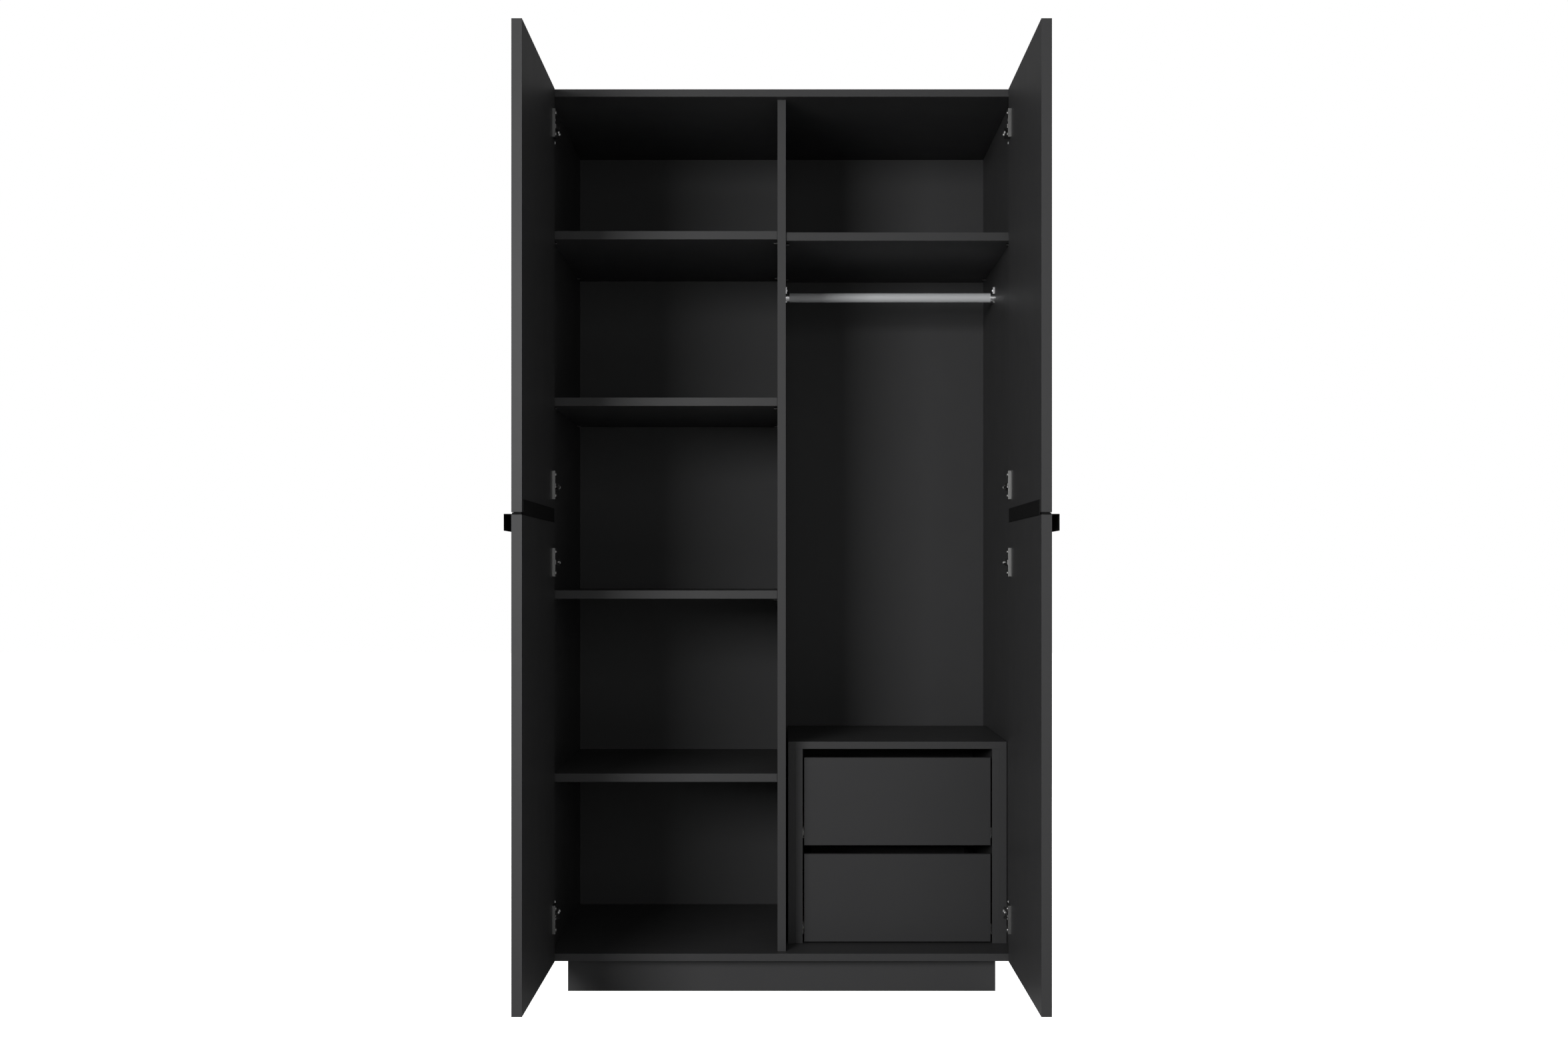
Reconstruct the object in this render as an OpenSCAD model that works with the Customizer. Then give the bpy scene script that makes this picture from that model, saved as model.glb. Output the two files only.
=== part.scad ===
// Four-door wardrobe with shelves, a hanging rail and a drawer insert, doors stored open.
// Origin: on the floor, in the middle of the carcass footprint. +X right, +Y to the back, +Z up.

/* [Carcass] */
// Outer width of the carcass
carcass_w = 1030; // [900:10:1200]
// Height of the carcass above the plinth
carcass_h = 1875; // [1800:5:2050]
// Depth of the side panels
carcass_d = 620; // [590:5:650]
// Thickness of the side, top and bottom panels
board_t = 16; // [16:1:19]
// Thickness of the back panel
back_t = 3; // [3:1:6]
// How deep the back panel sits in its rebate
rebate = 8; // [6:1:10]

/* [Plinth] */
// Height of the plinth
plinth_h = 75; // [60:5:120]
// Distance of the plinth behind the carcass front
plinth_recess = 50; // [30:5:80]
// Distance of the plinth in from each carcass side
plinth_inset = 50; // [20:5:80]

/* [Shelves and partition] */
// Thickness of the partition and the shelves
shelf_t = 18; // [16:1:22]
// Distance of the partition behind the carcass front
partition_recess = 26; // [20:1:40]
// Distance of the shelves behind the carcass front
shelf_recess = 32; // [28:1:50]
// Side clearance of a shelf
shelf_gap = 0.5; // [0.3:0.1:1]
// Underside of the lowest left shelf, from the carcass underside
shelf_1_z = 382; // [350:1:420]
// Underside of the second left shelf
shelf_2_z = 779; // [740:1:820]
// Underside of the third left shelf
shelf_3_z = 1197; // [1150:1:1240]
// Underside of the top left shelf
shelf_4_z = 1558; // [1520:1:1600]
// Underside of the right shelf
hat_shelf_z = 1555; // [1520:1:1600]
// Diameter of a shelf pin
pin_d = 5; // [4:0.5:6]
// Length of a shelf pin that stands out of the board
pin_out = 8; // [6:1:10]

/* [Hanging rail] */
// Outer diameter of the rail tube
rail_d = 22; // [16:1:25]
// Wall of the rail tube
rail_wall = 1.2; // [1:0.1:2]
// Height of the rail axis below the underside of the right shelf
rail_drop = 72.5; // [60:0.5:100]
// Distance of the rail axis behind the carcass front
rail_y = 380; // [300:5:420]

/* [Doors] */
// Thickness of a door
door_t = 20; // [18:1:22]
// Gap between the two closed doors of a row
door_gap = 3; // [2:0.5:5]
// Side reveal of a closed door inside the carcass edge
door_edge = 1; // [0.5:0.5:2]
// Gap between a closed door and the carcass front
door_back_gap = 2; // [2:0.1:2.4]
// Height of the lower doors
lower_door_h = 943.5; // [900:0.5:980]
// Vertical gap between the lower and upper doors
row_gap = 4.5; // [3:0.5:8]
// Angle at which the doors are stored open
door_angle = 90; // [0:5:105]

/* [Handle strips] */
// Sheet thickness of a handle strip
strip_t = 1.2; // [1:0.1:1.3]
// How far the lip stands out of the door face
lip_out = 14.4; // [12:0.2:20]
// Height of the lip
lip_h = 31.6; // [25:0.2:40]
// Height of the flange behind the upper door
flange_h = 29; // [20:1:35]
// Inset of the flange from both upright edges of the door
flange_inset = 18; // [10:1:30]

/* [Hinges] */
// Diameter of the hinge cup
cup_d = 35; // [35:1:36]
// Distance of the cup from the door edge
cup_edge = 3.5; // [3.4:0.1:3.6]
// Depth of the hinge cup
cup_depth = 13.1; // [13:0.1:15]
// Wall of the hinge cup
cup_wall = 0.6; // [0.4:0.1:0.6]
// Height of the upper hinge of an upper door below its top edge
hinge_top_inset = 82; // [60:1:120]
// Height of the lower hinge of an upper door above its bottom edge
hinge_low_inset = 74; // [60:1:120]
// Height of the upper hinge of a lower door below its top edge
lower_top_inset = 86; // [60:1:120]
// Height of the lower hinge of a lower door above its bottom edge
lower_low_inset = 96.5; // [60:0.5:120]
// Diameter of the hinge pins
hinge_pin_d = 2; // [1.6:0.1:2]

/* [Drawer insert] */
// Gap between the insert and the partition
insert_side_gap = 5.5; // [2:0.5:20]
// Height of the drawer insert
insert_h = 446; // [420:1:480]
// Gap between the insert and the back panel
insert_back_gap = 53; // [20:1:80]
// Distance of the insert behind the carcass front
insert_recess = 115; // [100:1:120]
// Gap between the insert and the right side panel
insert_gap = 1.5; // [0.5:0.5:3]
// Side gap of a drawer front in the insert
front_gap = 3.5; // [2:0.5:5]
// Finger gap above a drawer front
finger_gap = 19.2; // [15:0.2:25]
// Gap below the lower drawer front
foot_gap = 3.7; // [2:0.1:6]

/* [Drawers] */
// Thickness of the drawer sides and back
drawer_board_t = 12; // [12:1:15]
// Height of the drawer sides
drawer_side_h = 140; // [110:5:150]
// Gap between the drawer box and the back rails of the insert
drawer_back_gap = 32; // [20:1:50]
// Thickness of the drawer bottom
drawer_bottom_t = 3; // [3:1:5]
// Height of the drawer box above the lower edge of its front
box_lift = 14; // [10:1:20]
// Space for a runner at each side of a drawer box
runner_space = 12.5; // [12.5:0.1:13]
// Sheet thickness of the runners
runner_t = 1.2; // [1:0.1:1.5]
// Height of the fixed runner channel
runner_h = 22; // [22:0.5:24]

/* [Hidden] */
$fn = 48;

// Colours
graphite = [0.20, 0.20, 0.21];
graphite_face = [0.26, 0.26, 0.27];
steel = [0.72, 0.73, 0.74];
black_metal = [0.06, 0.06, 0.06];
white_plastic = [0.85, 0.85, 0.83];

// Carcass places
front_y = -carcass_d / 2;
inner_half = carcass_w / 2 - board_t;
inner_top = carcass_h - board_t;
inner_d = carcass_d - back_t;
part_half = shelf_t / 2;
compartment_w = inner_half - part_half;

// Dowels that join the panels
dowel_d = 8;
dowel_len = 30;
dowel_fit = 0.05;
dowel_edge = 60;
dowel_count = 4;

// Door places, with the doors closed
door_w = (carcass_w - 2 * door_edge - door_gap) / 2;
upper_door_z = lower_door_h + row_gap;
upper_door_h = carcass_h - upper_door_z;
strip_z = lower_door_h;
lower_hinges = [lower_low_inset, lower_door_h - lower_top_inset];
upper_hinges = [upper_door_z + hinge_low_inset, carcass_h - hinge_top_inset];

// Hinge pivots with the door closed: x from the inner face of the side panel, y from the carcass front.
// The main link turns on the arm at main_arm and holds the cup at main_cup, the short link likewise.
door_x = door_edge - board_t;
main_arm = [12.6, 22.8];
main_cup = [door_x + 6.8, -door_back_gap - 2.5];
short_arm = [6.1, 2];
short_cup = [door_x + 8.7, -door_back_gap - 5.3];
main_ratio = 0.35;
short_ratio = 0.62;
link_w = 3.6;
short_link_w = 2.4;
link_fit = 0.06;
link_thick = 4.4;
link_gap = 0.4;
pin_free = 0.2;
arm_in = link_gap + link_thick + 0.8;
arm_sheet = 1.4;
arm_top = 11.5;
arm_y = 26;
arm_back_y = 76;
arm_foot = 3.2;
plate_y = 37;
plate_z = 31;
plate_t = 2.2;
plate_boss_r = 5.2;
plate_boss_h = 5.6;
plate_wing_r = 6;
plate_tail = 8;
plate_tail_y = 29;
plate_screw = 25;
plate_hole_d = 4.4;
rail_foot_y = 31;
rail_foot_z = 4.8;
screw_d = 7;
screw_h = 1.6;
screw_y = [47, 66];
cup_flange_h = 60.5;
cup_flange_out = 19;
cup_flange_t = 5.8;
cup_flange_fit = 0.5;
cup_screw_x = 9.5;
cup_screw_z = 22.5;
cup_screw_d = 8;
main_bends = [[7, -1], [-5, -10]];
short_bends = [[10.5, -4.5], [8.5, -13.5]];
arm_bend = [9.5, 10];
arm_bar_w = 5.6;
main_eye_d = 5;
short_eye_d = 4.4;
slot_eye_d = 4.8;
slot_play = 1.4;

// Insert and drawer places
insert_w = compartment_w - insert_gap - insert_side_gap;
insert_d = inner_d - insert_recess - insert_back_gap;
drawer_d = insert_d - 2 * board_t - drawer_back_gap;
insert_x1 = inner_half - insert_gap;
insert_x0 = insert_x1 - insert_w;
insert_y = front_y + insert_recess;
insert_mid = (insert_x0 + insert_x1) / 2;
opening_w = insert_w - 4 * board_t;
front_w = opening_w - 2 * front_gap;
front_h = (insert_h - board_t - foot_gap - 2 * finger_gap) / 2;
lower_front_z = board_t + foot_gap;
upper_front_z = lower_front_z + front_h + finger_gap;
box_w = opening_w - 2 * runner_space;
roller_wide = 7;
roller_run = 0.3;
front_roller_r = 10.3;
rear_roller_r = 9.2;
roller_pin_d = 5;
roller_fit = 0.05;

function turn(v, a) = [v[0] * cos(a) - v[1] * sin(a), v[0] * sin(a) + v[1] * cos(a)];
function main_cup_now() = main_arm + turn(main_cup - main_arm, main_ratio * door_angle);

// ---- helpers ----

// A board given by its low corner and its size
module board(corner, size) {
    translate(corner) cube(size);
}

// Puts a left-hand piece on the left (s = -1) or mirrored on the right (s = 1)
module on_side(s) {
    if (s < 0) children(); else mirror([1, 0, 0]) children();
}

// Frame of the left hinge line: x from the side panel's inner face, y from the carcass front
module hinge_frame() {
    translate([-inner_half, front_y, plinth_h]) children();
}

// Carries pieces drawn with the left door closed to the stored angle
module door_pose() {
    hinge_frame()
        translate(main_cup_now())
            rotate([0, 0, -door_angle])
                translate(-main_cup) children();
}

// A flat bar through a list of points, as a 2D outline, with eyes a little wider than the bar
module bar(points, w) {
    eye = 0.2;
    for (i = [0 : len(points) - 2]) {
        a = points[i];
        d = points[i + 1] - a;
        translate(a) rotate(atan2(d[1], d[0])) translate([0, -w / 2]) square([norm(d), w]);
    }
    for (p = points) translate(p) circle(d = w + eye, $fn = 32);
}

// ---- carcass ----

// Dowels: horizontal ones join the sides to the top and bottom, upright ones hold the partition
module dowel_set(extra) {
    step = (inner_d - 2 * dowel_edge) / (dowel_count - 1);
    for (i = [0 : dowel_count - 1], z = [board_t / 2, carcass_h - board_t / 2], s = [-1, 1])
        translate([s * (inner_half - dowel_len / 2 + 10), front_y + dowel_edge + i * step, plinth_h + z])
            rotate([0, 90, 0]) cylinder(d = dowel_d + extra, h = dowel_len + extra, center = true, $fn = 32);
    for (i = [0 : dowel_count - 1], z = [board_t - 8, inner_top + 8 - dowel_len])
        translate([0, front_y + partition_recess + dowel_edge + i * (step - 10), plinth_h + z - extra / 2])
            cylinder(d = dowel_d + extra, h = dowel_len + extra, $fn = 32);
}

module carcass_dowels() {
    color([0.80, 0.66, 0.45]) dowel_set(0);
}

module across_panel(z) {
    color(graphite) difference() {
        board([-inner_half, front_y, plinth_h + z], [2 * inner_half, inner_d, board_t]);
        dowel_set(2 * dowel_fit);
    }
}

module top_panel() { across_panel(inner_top); }
module bottom_panel() { across_panel(0); }

module side_panel(s) {
    color(graphite) difference() {
        on_side(s) difference() {
            board([-carcass_w / 2, front_y, plinth_h], [board_t, carcass_d, carcass_h]);
            board([-inner_half - rebate, front_y + inner_d, plinth_h - 1],
                [rebate + 1, back_t + 1, carcass_h + 2]);
        }
        dowel_set(2 * dowel_fit);
        pin_set(2 * dowel_fit);
    }
}

module centre_partition() {
    color(graphite_face) difference() {
        board([-part_half, front_y + partition_recess, plinth_h + board_t],
            [shelf_t, inner_d - partition_recess, inner_top - board_t]);
        dowel_set(2 * dowel_fit);
        pin_set(2 * dowel_fit);
    }
}

module back_panel() {
    color(graphite)
        board([-inner_half - rebate, front_y + inner_d, plinth_h],
            [2 * (inner_half + rebate), back_t, carcass_h]);
}

// ---- plinth ----

module plinth_board(corner, size) {
    color(graphite_face) board(corner, size);
}

plinth_x = carcass_w / 2 - plinth_inset;
plinth_y0 = front_y + plinth_recess;
plinth_y1 = front_y + inner_d;

module plinth_front() { plinth_board([-plinth_x, plinth_y0, 0], [2 * plinth_x, board_t, plinth_h]); }
module plinth_back() { plinth_board([-plinth_x, plinth_y1 - board_t, 0], [2 * plinth_x, board_t, plinth_h]); }

module plinth_rail(x) {
    plinth_board([x, plinth_y0 + board_t, 0], [board_t, plinth_y1 - plinth_y0 - 2 * board_t, plinth_h]);
}

module plinth_side_rails() {
    plinth_rail(-plinth_x);
    plinth_rail(plinth_x - board_t);
}

module plinth_cross_rail() { plinth_rail(-board_t / 2); }

// ---- shelves ----

shelf_list = [
    [-1, shelf_1_z], [-1, shelf_2_z], [-1, shelf_3_z], [-1, shelf_4_z], [1, hat_shelf_z]
];

module shelf(i) {
    s = shelf_list[i][0];
    color(graphite_face) on_side(s)
        board([-inner_half + shelf_gap, front_y + shelf_recess, plinth_h + shelf_list[i][1]],
            [compartment_w - 2 * shelf_gap, inner_d - shelf_recess - shelf_gap, shelf_t]);
}

pin_in = 8;

// Four pins under each shelf, half in the board and half under the shelf
module pin_set(extra) {
    for (item = shelf_list, y = [shelf_recess + 37, inner_d - 60])
        on_side(item[0]) for (x = [-inner_half, -part_half])
            translate([x, front_y + y, plinth_h + item[1] - pin_d / 2])
                rotate([0, 90, 0])
                    cylinder(d = pin_d + extra, h = pin_in + pin_out + extra, center = true, $fn = 32);
}

module shelf_pins() {
    color(steel) pin_set(0);
}

// ---- hanging rail ----

rail_z = hat_shelf_z - rail_drop;
socket_len = 9;
socket_wall = 1.2;
rail_fit = 0.1;
bracket_t = 3;
bracket_rise = 24;
bracket_w = 18;
bracket_screw_x = 7.5 - bracket_rise;
bracket_screw_d = 7;

module hanging_rail() {
    tube_len = compartment_w - 2 * bracket_t - 1;
    color(steel) translate([part_half + bracket_t + 0.5, front_y + rail_y, plinth_h + rail_z])
        rotate([0, 90, 0]) difference() {
            cylinder(d = rail_d, h = tube_len);
            translate([0, 0, -1]) cylinder(d = rail_d - 2 * rail_wall, h = tube_len + 2);
        }
}

// One bracket drawn on a wall whose face is the plane z = 0, with +X pointing down
module rail_bracket() {
    socket_d = rail_d + 2 * rail_fit + 2 * socket_wall;
    difference() {
        union() {
            cylinder(d = socket_d, h = socket_len);
            translate([-bracket_rise, -bracket_w / 2, 0])
                cube([bracket_rise + socket_d / 2, bracket_w, bracket_t]);
        }
        translate([0, 0, bracket_t]) cylinder(d = rail_d + 2 * rail_fit, h = socket_len);
        translate([bracket_screw_x, 0, -1]) cylinder(d = 4.5, h = bracket_t + 2, $fn = 32);
    }
    translate([bracket_screw_x, 0, 0]) cylinder(d = 4.3, h = bracket_t, $fn = 32);
    translate([bracket_screw_x, 0, bracket_t]) cylinder(d = bracket_screw_d, h = 1.5, $fn = 32);
}

module rail_brackets() {
    color(steel) {
        translate([part_half, front_y + rail_y, plinth_h + rail_z]) rotate([0, 90, 0]) rail_bracket();
        translate([inner_half, front_y + rail_y, plinth_h + rail_z]) mirror([1, 0, 0])
            rotate([0, 90, 0]) rail_bracket();
    }
}

// ---- hinges ----

module at_hinges(heights) {
    for (z = heights) translate([0, 0, z]) children();
}

all_hinges = concat(lower_hinges, upper_hinges);

// Cross-shaped mounting plate on the side panel, with a rail under the arm
module hinge_plate() {
    wing = plate_z - plate_wing_r;
    difference() {
        union() {
            rotate([0, 90, 0]) linear_extrude(plate_t) {
                translate([-wing, plate_y - plate_wing_r]) square([2 * wing, 2 * plate_wing_r]);
                for (z = [-1, 1]) translate([z * wing, plate_y]) circle(r = plate_wing_r + 0.1);
                translate([-plate_tail, plate_tail_y])
                    square([2 * plate_tail, arm_back_y + 2 - plate_tail_y]);
            }
            for (z = [-1, 1]) translate([0, plate_y, z * plate_screw])
                rotate([0, 90, 0]) cylinder(r = plate_boss_r, h = plate_boss_h, $fn = 48);
            translate([0, rail_foot_y, -rail_foot_z])
                cube([arm_top, arm_back_y - rail_foot_y, 2 * rail_foot_z]);
        }
        for (z = [-1, 1]) translate([-1, plate_y, z * plate_screw])
            rotate([0, 90, 0]) cylinder(d = plate_hole_d, h = plate_boss_h + 2);
    }
}

module hinge_plates() {
    color(steel) for (s = [-1, 1]) on_side(s) hinge_frame() at_hinges(all_hinges) hinge_plate();
}

// Each pin stands on one cheek and carries the link on its own side of the middle
module hinge_pin() {
    cylinder(d = hinge_pin_d, h = arm_in + arm_sheet - pin_free, $fn = 32);
}

// The arm: two cheeks with the pivot pins and a web that lies on the rail of the plate
module hinge_arm() {
    for (z = [-arm_in - arm_sheet, arm_in])
        translate([0, 0, z]) linear_extrude(arm_sheet) {
            translate([arm_foot, arm_y]) square([arm_top + arm_sheet - arm_foot, arm_back_y - arm_y]);
            bar([main_arm + [0, 4], main_arm, arm_bend, short_arm + [1, 1]], arm_bar_w);
        }
    translate([arm_top, arm_y + 1, -arm_in - arm_sheet])
        cube([arm_sheet, arm_back_y - arm_y - 1, 2 * (arm_in + arm_sheet)]);
    translate([main_arm[0], main_arm[1], -arm_in - arm_sheet]) hinge_pin();
    translate([short_arm[0], short_arm[1], pin_free]) hinge_pin();
}

module hinge_arms() {
    color(steel) for (s = [-1, 1]) on_side(s) hinge_frame() at_hinges(all_hinges) hinge_arm();
}

module pan_screw(d, h) {
    difference() {
        cylinder(d = d, h = h, $fn = 32);
        for (a = [0, 90]) rotate(a) translate([-d / 3, -0.5, h - 0.8]) cube([2 * d / 3, 1, 1]);
    }
}

module hinge_screws() {
    color(steel) for (s = [-1, 1]) on_side(s) hinge_frame() at_hinges(all_hinges) {
        for (y = screw_y) translate([arm_top + arm_sheet, y, 0])
            rotate([0, 90, 0]) pan_screw(screw_d, screw_h);
        for (z = [-1, 1]) translate([plate_boss_h, plate_y, z * plate_screw])
            rotate([0, 90, 0]) pan_screw(screw_d, screw_h);
    }
}

// Cranked main link, drawn with the door closed
module main_link() {
    translate([0, 0, -link_gap - link_thick]) linear_extrude(link_thick) difference() {
        union() {
            bar([main_arm, main_bends[0], main_bends[1], main_cup], link_w);
            translate(main_arm) circle(d = main_eye_d, $fn = 32);
        }
        for (p = [main_arm, main_cup]) translate(p) circle(d = hinge_pin_d + 2 * link_fit, $fn = 32);
    }
}

// Cranked short link with a slot at the cup, which is the pivot left open in the tree of joints
module short_link() {
    a = short_ratio * 90;
    translate([0, 0, link_gap]) linear_extrude(link_thick) difference() {
        union() {
            bar([short_arm, for (b = short_bends) short_arm + turn(b, -a), short_cup], short_link_w);
            translate(short_arm) circle(d = short_eye_d, $fn = 32);
            translate(short_cup) circle(d = slot_eye_d, $fn = 32);
        }
        translate(short_arm) circle(d = hinge_pin_d + 2 * link_fit, $fn = 32);
        translate(short_cup) circle(d = hinge_pin_d + slot_play, $fn = 32);
    }
}

module turned_about(p, a) {
    translate([p[0], p[1], 0]) rotate([0, 0, a]) translate([-p[0], -p[1], 0]) children();
}

module main_links(s, heights) {
    color(steel) on_side(s) hinge_frame() at_hinges(heights)
        turned_about(main_arm, main_ratio * door_angle) main_link();
}

module short_links(s, heights) {
    color(steel) on_side(s) hinge_frame() at_hinges(heights)
        turned_about(short_arm, short_ratio * door_angle) short_link();
}

module main_links_lower_left() { main_links(-1, lower_hinges); }
module main_links_upper_left() { main_links(-1, upper_hinges); }
module main_links_lower_right() { main_links(1, lower_hinges); }
module main_links_upper_right() { main_links(1, upper_hinges); }
module short_links_lower_left() { short_links(-1, lower_hinges); }
module short_links_upper_left() { short_links(-1, upper_hinges); }
module short_links_lower_right() { short_links(1, lower_hinges); }
module short_links_upper_right() { short_links(1, upper_hinges); }

// ---- doors ----

cup_x = door_x + cup_edge + cup_d / 2;
cup_fit = 0.1;

// Door drawn closed, with a recess for each cup
module door(s, z, h, heights) {
    color(graphite_face) on_side(s) door_pose() difference() {
        board([door_x, -door_back_gap - door_t, z], [door_w, door_t, h]);
        at_hinges(heights) translate([cup_x, -door_back_gap - cup_depth - cup_fit, 0])
            rotate([-90, 0, 0]) cylinder(d = cup_d + 2 * cup_fit, h = cup_depth + 1, $fn = 64);
    }
}

module door_lower_left() { door(-1, 0, lower_door_h, lower_hinges); }
module door_upper_left() { door(-1, upper_door_z, upper_door_h, upper_hinges); }
module door_lower_right() { door(1, 0, lower_door_h, lower_hinges); }
module door_upper_right() { door(1, upper_door_z, upper_door_h, upper_hinges); }

// Cup with its flange, its two screws and the stub pins for the links, drawn with +Y out of the door
module hinge_cup() {
    inner_r = cup_d / 2 - cup_wall;
    translate([cup_x, -door_back_gap, 0]) {
        difference() {
            union() {
                rotate([90, 0, 0]) cylinder(d = cup_d, h = cup_depth, $fn = 64);
                rotate([-90, 0, 0]) linear_extrude(cup_flange_t) difference() {
                    translate([cup_flange_fit - cup_x, -cup_flange_h / 2])
                        square([cup_x - cup_flange_fit + cup_flange_out, cup_flange_h]);
                    circle(r = inner_r, $fn = 64);
                }
            }
            translate([0, 1, 0]) rotate([90, 0, 0])
                cylinder(r = inner_r, h = cup_depth + 1 - cup_wall, $fn = 64);
        }
        for (z = [-1, 1]) translate([cup_screw_x, cup_flange_t, z * cup_screw_z])
            rotate([-90, 0, 0]) pan_screw(cup_screw_d, screw_h);
    }
    reach = function(p) sqrt(pow(inner_r + cup_wall / 2, 2) - pow(cup_x - p[0] + hinge_pin_d / 2, 2));
    translate([main_cup[0], main_cup[1], -reach(main_cup)])
        cylinder(d = hinge_pin_d, h = reach(main_cup) - link_gap, $fn = 32);
    translate([short_cup[0], short_cup[1], link_gap])
        cylinder(d = hinge_pin_d, h = reach(short_cup) - link_gap, $fn = 32);
}

module hinge_cups(s, heights) {
    color(steel) on_side(s) door_pose() at_hinges(heights) hinge_cup();
}

module hinge_cups_lower_left() { hinge_cups(-1, lower_hinges); }
module hinge_cups_upper_left() { hinge_cups(-1, upper_hinges); }
module hinge_cups_lower_right() { hinge_cups(1, lower_hinges); }
module hinge_cups_upper_right() { hinge_cups(1, upper_hinges); }

strip_gap = 0.3;
strip_inset = 1;

// Draws a section of the strip along the door, held back by inset at both ends
module strip_length(inset) {
    translate([door_x + inset, 0, 0]) rotate([90, 0, 90])
        linear_extrude(door_w - 2 * inset) children();
}

// Z-shaped strip on the top edge of a lower door: web on the edge, lip in front, flange behind the upper door
module handle_strip(s) {
    lip_y = -door_back_gap - door_t - lip_out;
    flange_y = -door_back_gap + strip_gap;
    color(black_metal) on_side(s) door_pose() {
        strip_length(strip_inset) {
            translate([lip_y, strip_z]) square([-door_back_gap - lip_y, strip_t]);
            translate([lip_y, strip_z + strip_t - lip_h]) square([strip_t, lip_h]);
        }
        strip_length(flange_inset) {
            translate([-door_back_gap - 1, strip_z]) square([strip_gap + strip_t + 1, strip_t]);
            translate([flange_y, strip_z]) square([strip_t, flange_h]);
        }
    }
}

module handle_strip_left() { handle_strip(-1); }
module handle_strip_right() { handle_strip(1); }

// ---- drawer insert ----

insert_z = plinth_h + board_t;

module insert_top() {
    color(graphite_face)
        board([insert_x0, insert_y, insert_z + insert_h - board_t], [insert_w, insert_d, board_t]);
}

module insert_upright(x) {
    color(graphite_face) board([x, insert_y, insert_z], [board_t, insert_d, insert_h - board_t]);
}

module insert_left_side() { insert_upright(insert_x0); }
module insert_right_side() { insert_upright(insert_x1 - board_t); }

module insert_fillers() {
    insert_upright(insert_x0 + board_t);
    insert_upright(insert_x1 - 2 * board_t);
}

back_rail_h = 90;

module insert_back_rails() {
    color(graphite)
        for (z = [0, insert_h - board_t - back_rail_h])
            board([insert_mid - opening_w / 2, insert_y + insert_d - board_t, insert_z + z],
                [opening_w, board_t, back_rail_h]);
}

// ---- drawers ----

box_y = insert_y + board_t;
fixed_len = drawer_d + drawer_back_gap - 7;
front_roller_y = 12;
rear_roller_y = drawer_d - 12;
front_roller_z = runner_h + 1.5 - front_roller_r;
rear_roller_z = runner_t + roller_run + rear_roller_r;
flange_z = front_roller_z + front_roller_r + roller_run;

// Places children at the lower outer corner of a drawer's runner space, left one then mirrored right one
module at_runners(front_z) {
    for (m = [0, 1]) translate([insert_mid, box_y, plinth_h + front_z + box_lift])
        mirror([m, 0, 0]) translate([-opening_w / 2, 0, 0]) children();
}

// Fixed channel with the axle of its front roller; the top lip stops behind the roller
module fixed_runner() {
    lip_y = front_roller_y + front_roller_r + 3;
    translate([0, 1, 0]) {
        cube([runner_t, fixed_len, runner_h]);
        cube([9.5, fixed_len, runner_t]);
        translate([0, lip_y, runner_h - runner_t]) cube([9.5, fixed_len - lip_y, runner_t]);
        translate([0, fixed_len - runner_t, 0]) cube([9.5, runner_t, runner_h]);
    }
    translate([0, front_roller_y, front_roller_z]) rotate([0, 90, 0]) {
        cylinder(d = roller_pin_d, h = 10.2, $fn = 32);
        translate([0, 0, 9.6]) cylinder(d = 8, h = 0.8, $fn = 32);
    }
}

module fixed_runners() {
    color(steel) for (z = [lower_front_z, upper_front_z]) at_runners(z) fixed_runner();
}

// A plastic roller on an axle along X, from x = 2
module roller(r) {
    translate([2, 0, 0]) rotate([0, 90, 0]) difference() {
        cylinder(r = r, h = roller_wide, $fn = 64);
        translate([0, 0, -1]) cylinder(d = roller_pin_d + 2 * roller_fit, h = roller_wide + 2, $fn = 32);
        translate([0, 0, roller_wide - 1]) difference() {
            cylinder(r = r - 1.5, h = 2, $fn = 64);
            translate([0, 0, -1]) cylinder(d = roller_pin_d + 3, h = 4, $fn = 32);
        }
    }
}

module front_rollers(z) {
    color(white_plastic) at_runners(z) translate([0, front_roller_y, front_roller_z]) roller(front_roller_r);
}

module rear_rollers(z) {
    color(white_plastic) at_runners(z) translate([0, rear_roller_y, rear_roller_z]) roller(rear_roller_r);
}

module front_rollers_upper() { front_rollers(upper_front_z); }
module front_rollers_lower() { front_rollers(lower_front_z); }
module rear_rollers_upper() { rear_rollers(upper_front_z); }
module rear_rollers_lower() { rear_rollers(lower_front_z); }

// Runner on a drawer side: web, flange under the side and flange over the front roller
module drawer_runner() {
    web_x = runner_space - runner_t;
    translate([web_x, 0.5, 0]) cube([runner_t, drawer_d - 0.5, flange_z + runner_t]);
    translate([web_x, 0.5, 0]) cube([runner_t + drawer_board_t, drawer_d - 0.5, runner_t]);
    translate([3, 0.5, flange_z]) cube([web_x - 3 + runner_t, drawer_d - 0.5, runner_t]);
    translate([1.7, rear_roller_y, rear_roller_z]) rotate([0, 90, 0])
        cylinder(d = roller_pin_d, h = web_x - 1.2, $fn = 32);
}

module drawer_runners(z) {
    color(steel) at_runners(z) drawer_runner();
}

module drawer_runners_upper() { drawer_runners(upper_front_z); }
module drawer_runners_lower() { drawer_runners(lower_front_z); }

module drawer_front(z) {
    color(graphite_face)
        board([insert_mid - front_w / 2, insert_y, plinth_h + z], [front_w, board_t, front_h]);
}

groove = 5;
groove_fit = 0.2;
bottom_up = 10;

// The bottom sits in grooves in the sides and runs under the back
module drawer_bottom_shape(z, extra) {
    translate([insert_mid, box_y, plinth_h + z + box_lift + runner_t + bottom_up - extra])
        translate([-box_w / 2 + drawer_board_t - groove - extra, -1 * extra, 0])
            cube([box_w - 2 * drawer_board_t + 2 * groove + 2 * extra, drawer_d + 2 * extra,
                drawer_bottom_t + 2 * extra]);
}

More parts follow.
